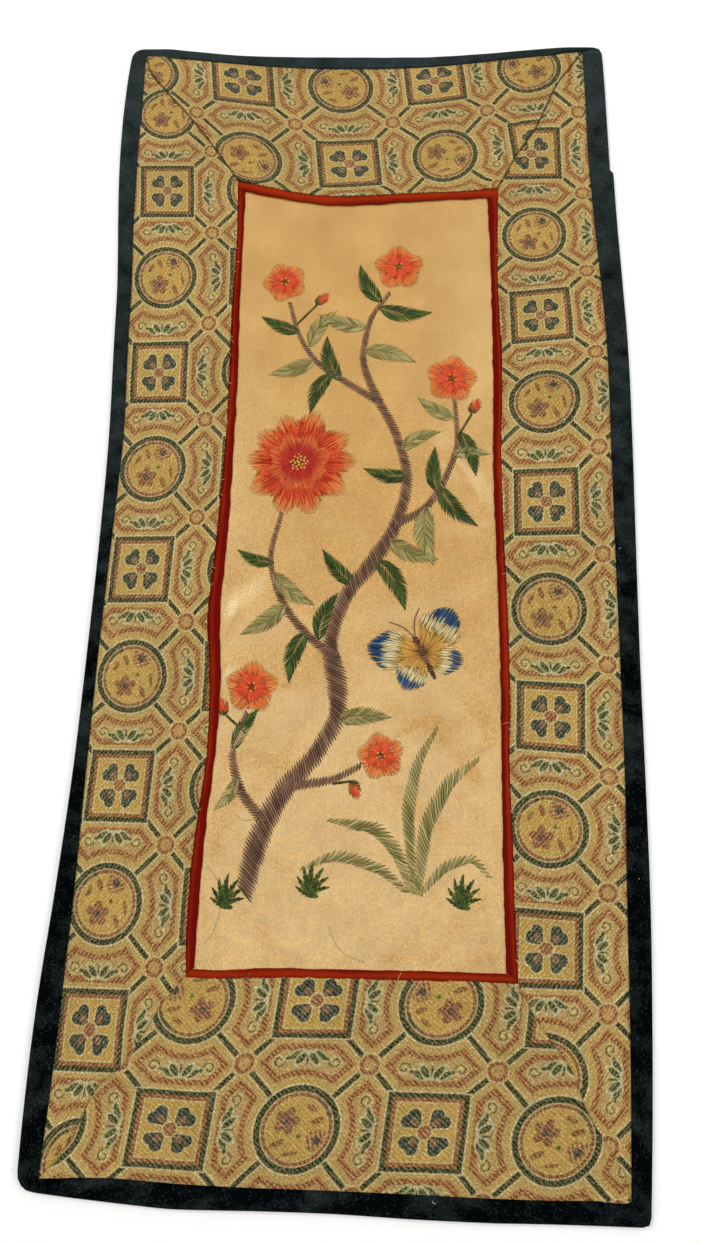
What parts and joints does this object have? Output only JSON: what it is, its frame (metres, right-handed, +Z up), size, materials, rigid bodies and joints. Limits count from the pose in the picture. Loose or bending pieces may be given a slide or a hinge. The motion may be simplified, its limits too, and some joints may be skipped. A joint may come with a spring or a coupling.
{
  "type": "silk embroidery panel",
  "caption": "Rectangular silk embroidery panel lying face up: peach satin with stitched flowers and leaves, red piping, mitred gold brocade border and a dark cloth binding.",
  "frame": {"origin": "centre of the panel's outline, on its flat underside", "axes": "+Z up out of the stitched face, +Y towards the panel's head, +X to the right seen from the face"},
  "size_m": [0.1866, 0.4004, 0.0024],
  "materials": {
    "satin": "soft sheen, silk satin",
    "piping": "matt plain-woven silk",
    "brocade": "figured silk brocade with raised pattern threads",
    "binding": "matt woven cloth",
    "thread": "glossy embroidery silk in several colours"
  },
  "bodies": {
    "root": {"satin_ground": "satin", "piping_top": "piping", "piping_bottom": "piping", "piping_left": "piping", "piping_right": "piping", "brocade_top": "brocade", "brocade_bottom": "brocade", "brocade_left": "brocade", "brocade_right": "brocade", "binding_top": "binding", "binding_bottom": "binding", "binding_left": "binding", "binding_right": "binding"}
  },
  "joints": []
}
